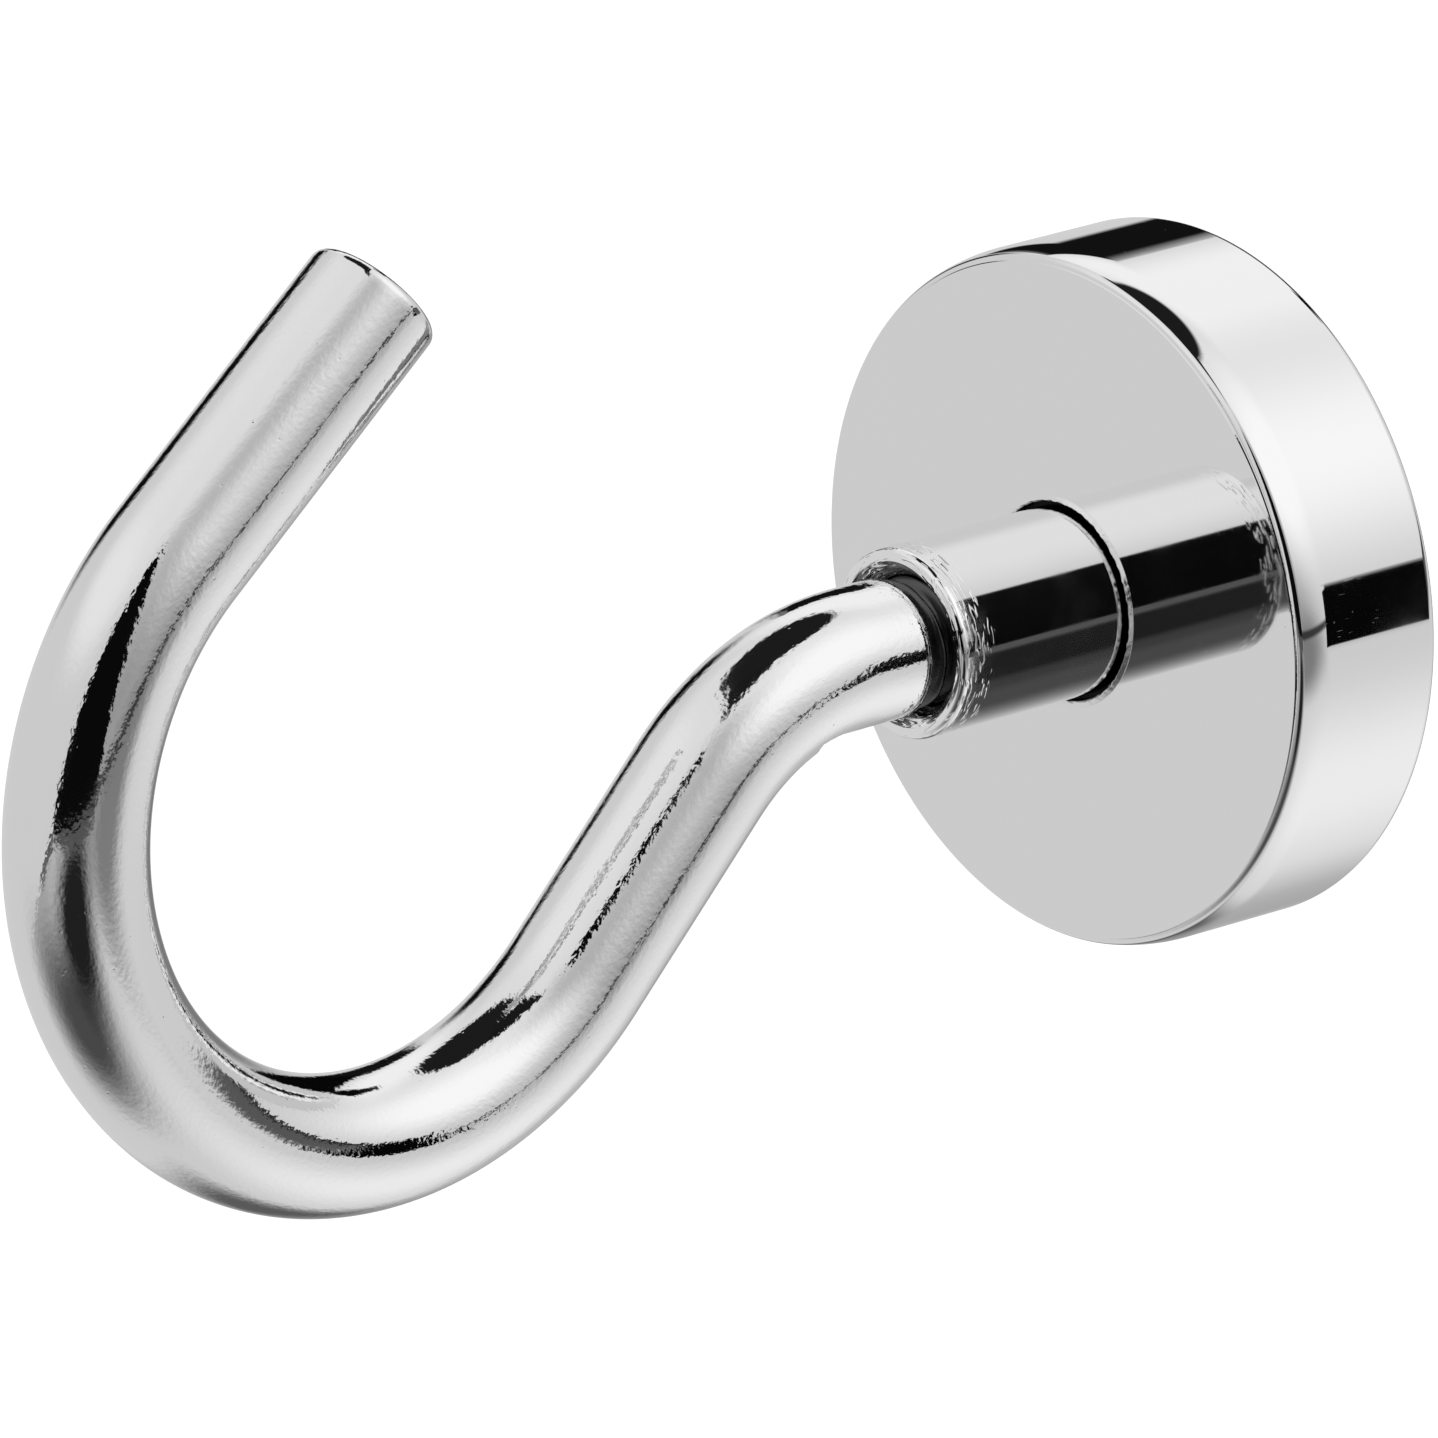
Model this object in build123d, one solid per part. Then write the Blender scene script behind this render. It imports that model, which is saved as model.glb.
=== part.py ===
from build123d import *
import os

# Magnetic hook: a pot magnet with a threaded boss, and a hook bent from one round steel rod.
# Lengths are millimetres and angles are degrees. The origin is the centre of the magnet's back
# face, which clings to the wall: +Y points into the wall, -Y out along the boss, and +Z is up.
# The hook lies in the plane X = 0 with its mouth upwards.

# Steel cup
cup_diameter = 32.2
cup_height = 8.2
cup_wall = 2.0
cup_floor = 3.0
crown_length = 1.3
crown_drop = 0.4
face_edge_chamfer = 0.2
rim_chamfer = 0.4

# Turned boss, seated in a shallow recess of the cup's face and riveted over behind its floor
boss_wall = 1.325
boss_length = 9.7
boss_edge_chamfer = 0.3
mouth_ring_width = 0.55
recess_margin = 0.475
recess_depth = 0.35
spigot_wall = 0.4
rivet_head_spread = 0.7
rivet_head_depth = 0.7

# Magnet and what bonds it into the cup
magnet_edge_chamfer = 0.4
glue_thickness = 0.2
resin_width = 1.1
resin_recess = 0.5
resin_dip = 0.2

# Thread of the hook's neck, drawn as a plain shaft at its outside diameter
thread_diameter = 6.0
thread_clearance = 0.05
thread_length = 10.4
thread_end_chamfer = 0.8
thread_showing = 0.7

# Bent rod
rod_diameter = 6.4
shoulder_chamfer = 0.2
shank_straight = 2.05
drop_bend_radius = 12.45
drop_bend_angle = 45.3
drop_straight = 10.55
loop_bend_radius = 16.3
loop_bend_angle = 185.8
tip_straight = 14.8
tip_chamfer = 0.35

# Radii about the boss axis
cup_outside = cup_diameter / 2
cup_inside = cup_outside - cup_wall
face_outside = cup_outside - crown_drop
magnet_outside = cup_inside - resin_width
thread_outside = thread_diameter / 2
bore = thread_outside + thread_clearance
boss_outside = bore + boss_wall
countersink = boss_outside - mouth_ring_width
recess_outside = boss_outside + recess_margin
spigot_outside = bore + spigot_wall
rivet_outside = spigot_outside + rivet_head_spread
rod_outside = rod_diameter / 2

# Places along the boss axis, as distances out from the wall
floor_out = cup_height - cup_floor
rivet_out = floor_out + rivet_head_depth
magnet_front_out = floor_out - glue_thickness
seat_out = cup_height - recess_depth
mouth_out = cup_height + boss_length
shoulder_out = mouth_out + thread_showing
rod_out = shoulder_out + shoulder_chamfer

# Side view: the first coordinate is the distance out from the wall, the second is the height.
side_view = Plane(origin=(0, 0, 0), x_dir=(0, -1, 0), z_dir=(-1, 0, 0))


def half_section(*points):
    """Closed outline of (distance out, radius) points, for turning about the boss axis."""
    return make_face(Polyline(*points, close=True))


def corner(section, out, radius):
    """The vertex of a half section that lies at a point."""
    return section.vertices().sort_by_distance((out, radius)).first


def turned(section):
    """A half section turned about the boss axis."""
    return revolve(side_view * section, axis=Axis.Y)


def pot_cup():
    """Steel cup whose wall leans in to the face, with a recess and a rivet hole for the boss."""
    section = half_section(
        (0, cup_inside),
        (0, cup_outside),
        (cup_height - crown_length, cup_outside),
        (cup_height, face_outside),
        (cup_height, recess_outside),
        (seat_out, boss_outside),
        (seat_out, spigot_outside),
        (rivet_out, spigot_outside),
        (floor_out, rivet_outside),
        (floor_out, cup_inside),
    )
    section = chamfer(corner(section, cup_height, face_outside), face_edge_chamfer)
    section = chamfer(corner(section, 0, cup_outside), rim_chamfer)
    return turned(section)


def threaded_boss():
    """Turned bush with a softened mouth, a countersunk bore and a spigot riveted over inside."""
    section = half_section(
        (mouth_out, countersink),
        (mouth_out, boss_outside),
        (seat_out, boss_outside),
        (seat_out, spigot_outside),
        (rivet_out, spigot_outside),
        (floor_out, rivet_outside),
        (floor_out, bore),
        (mouth_out - (countersink - bore), bore),
    )
    return turned(chamfer(corner(section, mouth_out, boss_outside), boss_edge_chamfer))


def magnet_disc():
    """Disc magnet with softened edges, its back face level with the cup's rim."""
    section = half_section(
        (0, 0),
        (0, magnet_outside),
        (magnet_front_out, magnet_outside),
        (magnet_front_out, 0),
    )
    edges = [corner(section, out, magnet_outside) for out in (0, magnet_front_out)]
    return turned(chamfer(edges, magnet_edge_chamfer))


def glue_film():
    """Adhesive between the magnet and the cup's floor."""
    section = half_section(
        (magnet_front_out, 0),
        (magnet_front_out, magnet_outside),
        (floor_out, magnet_outside),
        (floor_out, 0),
    )
    return turned(section)


def resin_ring():
    """Cast resin between the magnet and the cup's wall, sunk below the rim with a hollow skin."""
    section = half_section(
        (resin_recess, magnet_outside),
        (resin_recess + resin_dip, (magnet_outside + cup_inside) / 2),
        (resin_recess, cup_inside),
        (floor_out, cup_inside),
        (floor_out, magnet_outside),
    )
    return turned(section)


def rod_centreline():
    """Shank, drop bend, slope, loop bend and tip of the rod, each tangent to the next."""
    shank = Line((rod_out, 0), (rod_out + shank_straight, 0))
    drop = JernArc(shank @ 1, shank % 1, drop_bend_radius, -drop_bend_angle)
    slope = Line(drop @ 1, drop @ 1 + (drop % 1) * drop_straight)
    loop = JernArc(slope @ 1, slope % 1, loop_bend_radius, loop_bend_angle)
    tip = Line(loop @ 1, loop @ 1 + (loop % 1) * tip_straight)
    return side_view * Wire([shank.edge(), drop.edge(), slope.edge(), loop.edge(), tip.edge()])


def hook_neck():
    """Turned-down neck of the rod, at the thread's outside diameter, up to its sloped shoulder."""
    end_out = shoulder_out - thread_length
    section = half_section(
        (end_out, 0),
        (end_out, thread_outside),
        (shoulder_out, thread_outside),
        (rod_out, rod_outside),
        (rod_out, 0),
    )
    return turned(chamfer(corner(section, end_out, thread_outside), thread_end_chamfer))


def hook():
    """The hook: a threaded neck and a round rod bent down, round the loop and back to its tip."""
    path = rod_centreline()
    rod_section = Plane(origin=path @ 0, z_dir=path % 0) * Circle(rod_outside)
    rod = sweep(rod_section, path=path)
    tip_edge = rod.edges().filter_by(GeomType.CIRCLE).sort_by_distance(path @ 1).first
    return hook_neck() + chamfer(tip_edge, tip_chamfer)


nodes = {
    "pot_cup": pot_cup(),
    "threaded_boss": threaded_boss(),
    "magnet_disc": magnet_disc(),
    "glue_film": glue_film(),
    "resin_ring": resin_ring(),
    "hook": hook(),
}

os.makedirs("parts", exist_ok=True)
for name, shape in nodes.items():
    export_step(shape, f"parts/{name}.step")
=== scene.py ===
"""Looks of a magnetic hook: its dressed pieces, their finishes, the studio and the camera.

Lengths are metres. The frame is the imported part's own: the origin is the centre of the magnet's
back face, -Y runs out along the boss, +Z is up and the hook lies in the plane X = 0. A distance
out is measured along -Y from the back face.
"""

from __future__ import annotations

import logging
import math
from collections.abc import Sequence
from dataclasses import dataclass
from enum import Enum

import bpy
from mathutils import Matrix, Vector, noise

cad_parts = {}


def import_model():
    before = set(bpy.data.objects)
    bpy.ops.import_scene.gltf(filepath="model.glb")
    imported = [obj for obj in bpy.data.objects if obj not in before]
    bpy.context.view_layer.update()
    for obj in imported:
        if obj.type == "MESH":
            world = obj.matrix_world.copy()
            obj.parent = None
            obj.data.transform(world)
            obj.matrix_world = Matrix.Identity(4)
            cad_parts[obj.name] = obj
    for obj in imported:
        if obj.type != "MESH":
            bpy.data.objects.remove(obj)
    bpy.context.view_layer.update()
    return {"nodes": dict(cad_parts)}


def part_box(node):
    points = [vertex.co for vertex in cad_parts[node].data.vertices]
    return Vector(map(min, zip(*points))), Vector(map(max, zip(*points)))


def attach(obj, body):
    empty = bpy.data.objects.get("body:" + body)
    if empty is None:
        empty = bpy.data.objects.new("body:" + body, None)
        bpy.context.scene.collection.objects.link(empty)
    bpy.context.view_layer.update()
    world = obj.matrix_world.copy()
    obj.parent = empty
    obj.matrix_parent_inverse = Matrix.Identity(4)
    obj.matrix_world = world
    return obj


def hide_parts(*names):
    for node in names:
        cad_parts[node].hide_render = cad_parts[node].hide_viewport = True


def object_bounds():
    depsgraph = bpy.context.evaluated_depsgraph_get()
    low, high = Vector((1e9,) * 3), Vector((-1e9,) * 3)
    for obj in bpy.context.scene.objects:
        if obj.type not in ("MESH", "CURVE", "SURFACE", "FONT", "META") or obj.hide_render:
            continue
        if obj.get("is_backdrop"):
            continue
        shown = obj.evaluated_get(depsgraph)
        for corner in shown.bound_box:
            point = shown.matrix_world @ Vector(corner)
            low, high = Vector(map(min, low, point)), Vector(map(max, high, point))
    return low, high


LOG = logging.getLogger("magnetic_hook")
MM = 0.001
MICRON = 1e-6
FULL_TURN = 2 * math.pi
WHITE = (1, 1, 1, 1)
BLACK = (0, 0, 0, 1)
# Near black for the unplated metal in the cup's gap and at the boss's foot, darkened as painted shade there.
BARE_METAL_AND_SHADE = (0.012, 0.012, 0.012)
MERGE_REACH = 0.001 * MM
SHARPEST_SMOOTH = math.radians(28)

Socket = bpy.types.NodeSocket
Term = bpy.types.NodeSocket | float | Sequence[float]


class Axis(Enum):
    """Named unit directions of the part's frame."""

    ACROSS = Vector((1, 0, 0))
    OUT = Vector((0, -1, 0))
    UP = Vector((0, 0, 1))


class NodeBench:
    """Adds nodes to one shader tree and links them."""

    def __init__(self, tree: bpy.types.NodeTree) -> None:
        """Empties a tree and takes it over.

        Args:
            tree: The tree of a material or a world.
        """
        tree.nodes.clear()
        self.tree = tree

    def add(
        self, kind: str, inputs: dict[str | int, Term] | None = None, **settings: object
    ) -> bpy.types.Node:
        """Adds one node.

        Args:
            kind: Type of the node, without its leading ShaderNode.
            inputs: What goes into its sockets: another node's output or a constant.
            settings: Properties of the node.

        Returns:
            The new node.
        """
        node = self.tree.nodes.new("ShaderNode" + kind)
        for name, value in settings.items():
            setattr(node, name, value)
        for name, value in (inputs or {}).items():
            if isinstance(value, bpy.types.NodeSocket):
                self.tree.links.new(value, node.inputs[name])
            else:
                node.inputs[name].default_value = value
        return node

    def math(self, operation: str, *terms: Term) -> Socket:
        """Output of a Math node with the given terms."""
        return self.add("Math", dict(enumerate(terms)), operation=operation).outputs[0]

    def length(self, first: Socket, second: Socket) -> Socket:
        """Length of a flat vector from its two parts."""
        square = self.math("MULTIPLY_ADD", first, first, self.math("MULTIPLY", second, second))
        return self.math("SQRT", square)

    def vector(self, operation: str, *terms: Term) -> bpy.types.Node:
        """A Vector Math node with the given terms."""
        return self.add("VectorMath", dict(enumerate(terms)), operation=operation)

    def dot(self, vector: Socket, direction: Sequence[float]) -> Socket:
        """Dot product of a vector and a fixed direction."""
        return self.vector("DOT_PRODUCT", vector, tuple(direction)).outputs["Value"]

    def remap(self, value: Socket, low: float, high: float, start: float = 0.0, end: float = 1.0) -> Socket:
        """Smooth step of a value between two bounds.

        Args:
            value: What is mapped.
            low: Bound that gives the start.
            high: Bound that gives the end.
            start: Result at and below the low bound.
            end: Result at and above the high bound.

        Returns:
            The mapped value.
        """
        inputs = {"Value": value, "From Min": low, "From Max": high, "To Min": start, "To Max": end}
        return self.add("MapRange", inputs, interpolation_type="SMOOTHSTEP").outputs["Result"]

    def blend(self, factor: Term, first: Term, second: Term) -> Socket:
        """Mix of two values by a factor."""
        node = self.add("Mix", {0: factor, 2: first, 3: second}, data_type="FLOAT")
        return node.outputs[0]

    def tint(self, factor: Term, first: Term, second: Term) -> Socket:
        """Mix of two colours by a factor."""
        colours = (end if isinstance(end, bpy.types.NodeSocket) else (*end, 1) for end in (first, second))
        return self.add("Mix", {0: factor, **dict(zip((6, 7), colours))}, data_type="RGBA").outputs[2]

    def stretch(self, vector: Socket, scale: Sequence[float]) -> Socket:
        """A vector scaled axis by axis."""
        return self.vector("MULTIPLY", vector, tuple(scale)).outputs["Vector"]

    def split(self, vector: Socket) -> tuple[Socket, Socket, Socket]:
        """The three parts of a vector."""
        outputs = self.add("SeparateXYZ", {0: vector}).outputs
        return outputs[0], outputs[1], outputs[2]

    def join(self, x: Term, y: Term, z: Term) -> Socket:
        """A vector from its three parts."""
        return self.add("CombineXYZ", {0: x, 1: y, 2: z}).outputs[0]

    def bump(self, height: Socket, depth: float, under: Socket | None = None) -> Socket:
        """Normal of a surface with fine relief.

        Args:
            height: Height of the relief, from nought to one.
            depth: What a height of one measures, in metres.
            under: Normal of a coarser relief below it.

        Returns:
            The new normal.
        """
        inputs: dict[str | int, Term] = {"Height": height, "Distance": depth, "Strength": 1.0}
        if under is not None:
            inputs["Normal"] = under
        return self.add("Bump", inputs).outputs["Normal"]


def heading(azimuth: float, elevation: float) -> Vector:
    """Unit direction from the object.

    Args:
        azimuth: Degrees from straight out of the wall towards +X.
        elevation: Degrees above the horizon.

    Returns:
        The direction.
    """
    turn, rise = math.radians(azimuth), math.radians(elevation)
    return Vector((math.sin(turn) * math.cos(rise), -math.cos(turn) * math.cos(rise), math.sin(rise)))


@dataclass(frozen=True)
class Card:
    """A flat studio card or opening with straight edges, seen from the object.

    Attributes:
        name: What it is.
        corners: Azimuth and elevation of its corners in degrees.
        level: Its brightness, where one is white.
        softness: Width of its blurred edges in degrees.
        strength: How much it hides what lies behind it.
        fade: Width of the blur of every edge but the first, where it differs.
    """

    name: str
    corners: Sequence[tuple[float, float]]
    level: float
    softness: float = 0.6
    strength: float = 1.0
    fade: float | None = None

    def lay(self, bench: NodeBench, view: Socket, behind: Socket) -> Socket:
        """Lays the card over what is behind it.

        Args:
            bench: The world's bench.
            view: Direction looked in.
            behind: Brightness behind the card.

        Returns:
            Brightness with the card in front.
        """
        points = [heading(*corner) for corner in self.corners]
        middle = sum(points, Vector())
        cover: Term = self.strength
        blur = self.softness
        for start, end in zip(points, [*points[1:], points[0]]):
            edge = start.cross(end).normalized()
            edge = edge if edge.dot(middle) > 0 else -edge
            half = math.radians(blur) / 2
            within = bench.remap(bench.dot(view, edge), -half, half, 0.0, self.strength)
            cover = bench.math("MINIMUM", cover, within)
            blur = self.softness if self.fade is None else self.fade
        return bench.blend(cover, behind, self.level)


@dataclass(frozen=True)
class Glow:
    """A soft round or oval patch of light or shade, seen from the object.

    Attributes:
        name: What it is.
        centre: Azimuth and elevation of its centre in degrees.
        reach: Half width and half height in degrees, where it has faded out.
        level: Its brightness at the centre.
        core: Share of its reach that has the full level.
        strength: How much it hides what lies behind it.
        tilt: Degrees that its width is turned up on its right.
    """

    name: str
    centre: tuple[float, float]
    reach: tuple[float, float]
    level: float
    core: float = 0.0
    strength: float = 1.0
    tilt: float = 0.0

    def lay(self, bench: NodeBench, view: Socket, behind: Socket) -> Socket:
        """Lays the patch over what is behind it.

        Args:
            bench: The world's bench.
            view: Direction looked in.
            behind: Brightness behind the patch.

        Returns:
            Brightness with the patch in front.
        """
        forward = heading(*self.centre)
        level_side = forward.cross(Axis.UP.value).normalized()
        side = Matrix.Rotation(math.radians(-self.tilt), 3, forward) @ level_side
        rise = side.cross(forward)
        width, height = (
            bench.math("MULTIPLY", bench.dot(view, axis), 1 / math.sin(math.radians(reach)))
            for axis, reach in zip((side, rise), self.reach)
        )
        fade = bench.remap(bench.length(width, height), self.core, 1.0, self.strength, 0.0)
        facing = bench.math("GREATER_THAN", bench.dot(view, forward), 0.0)
        return bench.blend(bench.math("MULTIPLY", fade, facing), behind, self.level)


@dataclass(frozen=True)
class Studio:
    """A white tent with an opening for the camera, a table and a few cards, and the pale floor.

    Attributes:
        tent: Brightness of the tent's walls.
        tent_top: Brightness of its top.
        tent_shoulder: Heights on the unit sphere between which the walls become the top.
        floor_drop: Distance from the object down to the floor.
        floor_size: Length of the floor's sides.
        floor_albedo: Share of the light that the floor's paper gives back.
        floor_lift: Brightness that the camera sees on top of that.
        layers: Cards and glows from the farthest to the nearest.
    """

    tent: float = 0.660
    tent_top: float = 0.80
    tent_shoulder: tuple[float, float] = (0.55, 0.95)
    floor_drop: float = 0.045
    floor_size: float = 1.6
    floor_albedo: float = 0.75
    floor_lift: float = 0.62
    layers: Sequence[Card | Glow] = (
        Glow("top_light", (-23, 72), (55, 60), 0.79, 0.42),
        Glow("left_lamp", (-22, 47), (42, 24), 0.85, 0.3),
        Glow("table_right", (150, -47), (53, 36), 0.92, 0.1),
        Card("table_left", ((17, -4.6), (-33, -29.3), (-40, -59), (20, -70)), 0.42, 1.6, 1, 34),
        Glow("back_shade", (-153, -12), (23, 26), 0.21, 0.35),
        Glow("back_streak", (-131, -52.5), (17, 42), 0.11, 0.28),
        Card("side_shade", ((61, 52), (61, -8), (115, -9), (100, 52)), 0.31, 34),
        Glow("side_foot", (97, -12.3), (34, 17), 0.18, 0.3, 0.9),
        Glow("right_lamp", (122, 39), (57, 44), 1.04, 0.25, 1, -11),
        Glow("back_lamp", (-145, 43), (47, 21), 0.96, 0.3, 1, 9),
        Glow("back_floor", (-153, -38), (32, 14), 0.42, 0.1, 0.7),
        Glow("ceiling_opening", (-128.5, 76), (20.5, 24), 0.012, 0.86),
        Card("tent_seam", ((128, 77), (56, 60.5), (-16, 77)), 0.01, 2),
        Glow("table_front", (22.5, -50), (66, 33), 0.07, 0.22),
        Glow("table_under_camera", (47, -25), (38, 29), 0.015, 0.35, 1, -7),
        Card("table_glint", ((76, -6.2), (17, -6.2), (17, -10), (76, -10)), 0.09, 1, 1, 3),
        Card("table_edge", ((14, -4.6), (-6, -17.4), (-4, -19.4), (15, -9.7)), 0.1, 1, 1, 3),
        Card("camera_opening", ((49.3, 52), (12.5, -6.2), (75.5, -6.2)), 0.003, 1.4),
        Card("horizon_line", ((70, -3.9), (70, -6.5), (128, -5.8), (128, -3.9)), 0.03, 1.4, 0.95),
        Card("right_curtain", ((130, 4), (168, 7.2), (168, 0), (132, -10)), 0.1, 0.8, 1, 5.5),
        Card("curtain_seam", ((130, 3.6), (168, 7), (168, 5), (130, 1.2)), 0.02, 0.8, 1, 2),
        Card("right_window", ((126.3, 3), (126.3, -11.2), (132, -11.2), (132, 3.5)), 0.002, 0.4),
        Card("left_window", ((-132, 22), (-133, 4), (-160, 6), (-164, 31)), 0.002, 1.2),
        Card("left_arm", ((-160, 30), (-160, 44), (-166, 46), (-173, 38), (-166, 30)), 0.002, 1.2),
        Card("left_curtain", ((-119, 28), (-136, 26.5), (-136, 5), (-121, 4)), 0.006, 0.8, 1, 4),
        Glow("left_gap", (-103, 14), (14, 18), 0.004, 0.4),
    )

    def hang(self) -> None:
        """Makes the world: white for the camera, the tent for the light and the reflections."""
        world = bpy.data.worlds.new("studio")
        world.use_nodes = True
        bpy.context.scene.world = world
        bench = NodeBench(world.node_tree)
        view = bench.add("TexCoord").outputs["Generated"]
        rise = bench.dot(view, Axis.UP.value)
        level = bench.remap(rise, *self.tent_shoulder, self.tent, self.tent_top)
        for layer in self.layers:
            level = layer.lay(bench, view, level)
        ray = bench.add("LightPath")
        shown = bench.math("MAXIMUM", ray.outputs["Is Camera Ray"], ray.outputs["Is Transmission Ray"])
        tent = bench.add("Background", {"Color": bench.join(level, level, level), "Strength": 1.0})
        white = bench.add("Background", {"Color": WHITE, "Strength": 1.0})
        surface = bench.add("MixShader", {0: shown, 1: tent.outputs[0], 2: white.outputs[0]})
        bench.add("OutputWorld", {"Surface": surface.outputs[0]})

    def lay_floor(self, lowest: float) -> bpy.types.Object:
        """Lays the pale floor below the object.

        Args:
            lowest: Height of the object's lowest point.

        Returns:
            The floor.
        """
        bpy.ops.object.select_all(action="DESELECT")
        bpy.ops.mesh.primitive_plane_add(size=self.floor_size, location=(0, 0, lowest - self.floor_drop))
        floor = bpy.context.object
        floor.name = "studio_floor"
        bpy.ops.object.transform_apply(location=True)
        material = bpy.data.materials.new("studio_floor_paper")
        material.use_nodes = True
        bench = NodeBench(material.node_tree)
        paper = bench.add("BsdfDiffuse", {"Color": (self.floor_albedo,) * 3 + (1,)})
        lift = bench.add("Emission", {"Color": WHITE, "Strength": self.floor_lift})
        seen = bench.add("LightPath").outputs["Is Camera Ray"]
        dark = bench.add("Emission", {"Color": BLACK, "Strength": 0.0})
        lift = bench.add("MixShader", {0: seen, 1: dark.outputs[0], 2: lift.outputs[0]})
        lit = bench.add("AddShader", {0: paper.outputs[0], 1: lift.outputs[0]})
        below = bench.add("NewGeometry").outputs["Backfacing"]
        clear = bench.add("BsdfTransparent")
        surface = bench.add("MixShader", {0: below, 1: lit.outputs[0], 2: clear.outputs[0]})
        bench.add("OutputMaterial", {"Surface": surface.outputs[0]})
        floor.data.materials.append(material)
        floor.visible_glossy = False
        floor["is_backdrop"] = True
        return floor


@dataclass(frozen=True)
class Viewpoint:
    """The photograph's camera, found by fitting the part's outlines to it."""

    location: tuple[float, float, float] = (0.55525, -0.50487, 0.22816)
    azimuth: float = 49.374
    elevation: float = 17.406
    roll: float = -0.805
    lens: float = 433.49
    sensor: float = 36.0
    nearest: float = 0.01
    farthest: float = 20.0

    def place(self) -> bpy.types.Object:
        """Makes the scene's camera at the photograph's viewing angle.

        Returns:
            The camera.
        """
        back = heading(self.azimuth, self.elevation)
        right = (-back).cross(Axis.UP.value).normalized()
        upward = right.cross(-back)
        roll = math.radians(self.roll)
        rolled_right = right * math.cos(roll) + upward * math.sin(roll)
        rolled_up = upward * math.cos(roll) - right * math.sin(roll)
        data = bpy.data.cameras.new("product_camera")
        data.lens = self.lens
        data.sensor_width = self.sensor
        data.clip_start = self.nearest
        data.clip_end = self.farthest
        camera = bpy.data.objects.new("product_camera", data)
        bpy.context.scene.collection.objects.link(camera)
        rotation = Matrix((rolled_right, rolled_up, back)).transposed()
        camera.matrix_world = Matrix.Translation(self.location) @ rotation.to_4x4()
        bpy.context.scene.camera = camera
        return camera


@dataclass(frozen=True)
class Mottle:
    """A mottled pattern on a piece.

    Attributes:
        size: Size of its cells.
        detail: Number of finer layers.
        rough: Strength of the finer layers.
        cut: Heights between which the patches that are cut from it fade in.
    """

    size: float
    detail: float = 2.0
    rough: float = 0.5
    cut: tuple[float, float] = (0.0, 1.0)

    def height(self, bench: NodeBench, place: Socket) -> Socket:
        """Height of the pattern, around a half."""
        inputs = {"Vector": place, "Scale": 1 / self.size, "Detail": self.detail, "Roughness": self.rough}
        return bench.add("TexNoise", inputs).outputs["Fac"]

    def patches(self, bench: NodeBench, place: Socket, bare: float = 0.0, full: float = 1.0) -> Socket:
        """Patches that are cut from the pattern.

        Args:
            bench: The material's bench.
            place: Place on the piece.
            bare: Result between the patches.
            full: Result within them.

        Returns:
            The result at the place.
        """
        return bench.remap(self.height(bench, place), *self.cut, bare, full)


@dataclass(frozen=True)
class Spots:
    """Small round spots scattered on a piece.

    Attributes:
        spacing: Usual distance from spot to spot.
        edge: Shares of the spacing between which a spot ends.
    """

    spacing: float
    edge: tuple[float, float]

    def lay(self, bench: NodeBench, place: Socket, spot: float, ground: float) -> Socket:
        """Scatters the spots.

        Args:
            bench: The material's bench.
            place: Place on the piece.
            spot: Result within a spot.
            ground: Result between the spots.

        Returns:
            The result at the place.
        """
        cells = bench.add("TexVoronoi", {"Vector": place, "Scale": 1 / self.spacing})
        return bench.remap(cells.outputs["Distance"], *self.edge, spot, ground)


@dataclass(frozen=True)
class Finish:
    """What every finish of the object shares."""

    name: str
    colour: tuple[float, float, float]

    def make(self) -> bpy.types.Material:
        """Makes the finish's material.

        Returns:
            The material.
        """
        material = bpy.data.materials.new(self.name)
        material.use_nodes = True
        bench = NodeBench(material.node_tree)
        shader = self.shade(bench)
        bench.add("OutputMaterial", {"Surface": shader.outputs[0]})
        return material

    def shade(self, bench: NodeBench) -> bpy.types.Node:
        """Builds the finish's shader.

        Args:
            bench: The material's bench.

        Returns:
            The shader node.
        """
        raise NotImplementedError

    @staticmethod
    def place(bench: NodeBench) -> Socket:
        """Place on the piece, in metres."""
        return bench.add("TexCoord").outputs["Object"]

    @staticmethod
    def metal(bench: NodeBench, colour: Term, roughness: Socket, normal: Socket) -> bpy.types.Node:
        """The shader of a bare or plated metal."""
        inputs = {"Base Color": colour, "Metallic": 1.0, "Roughness": roughness, "Normal": normal}
        return bench.add("BsdfPrincipled", inputs)


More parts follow.
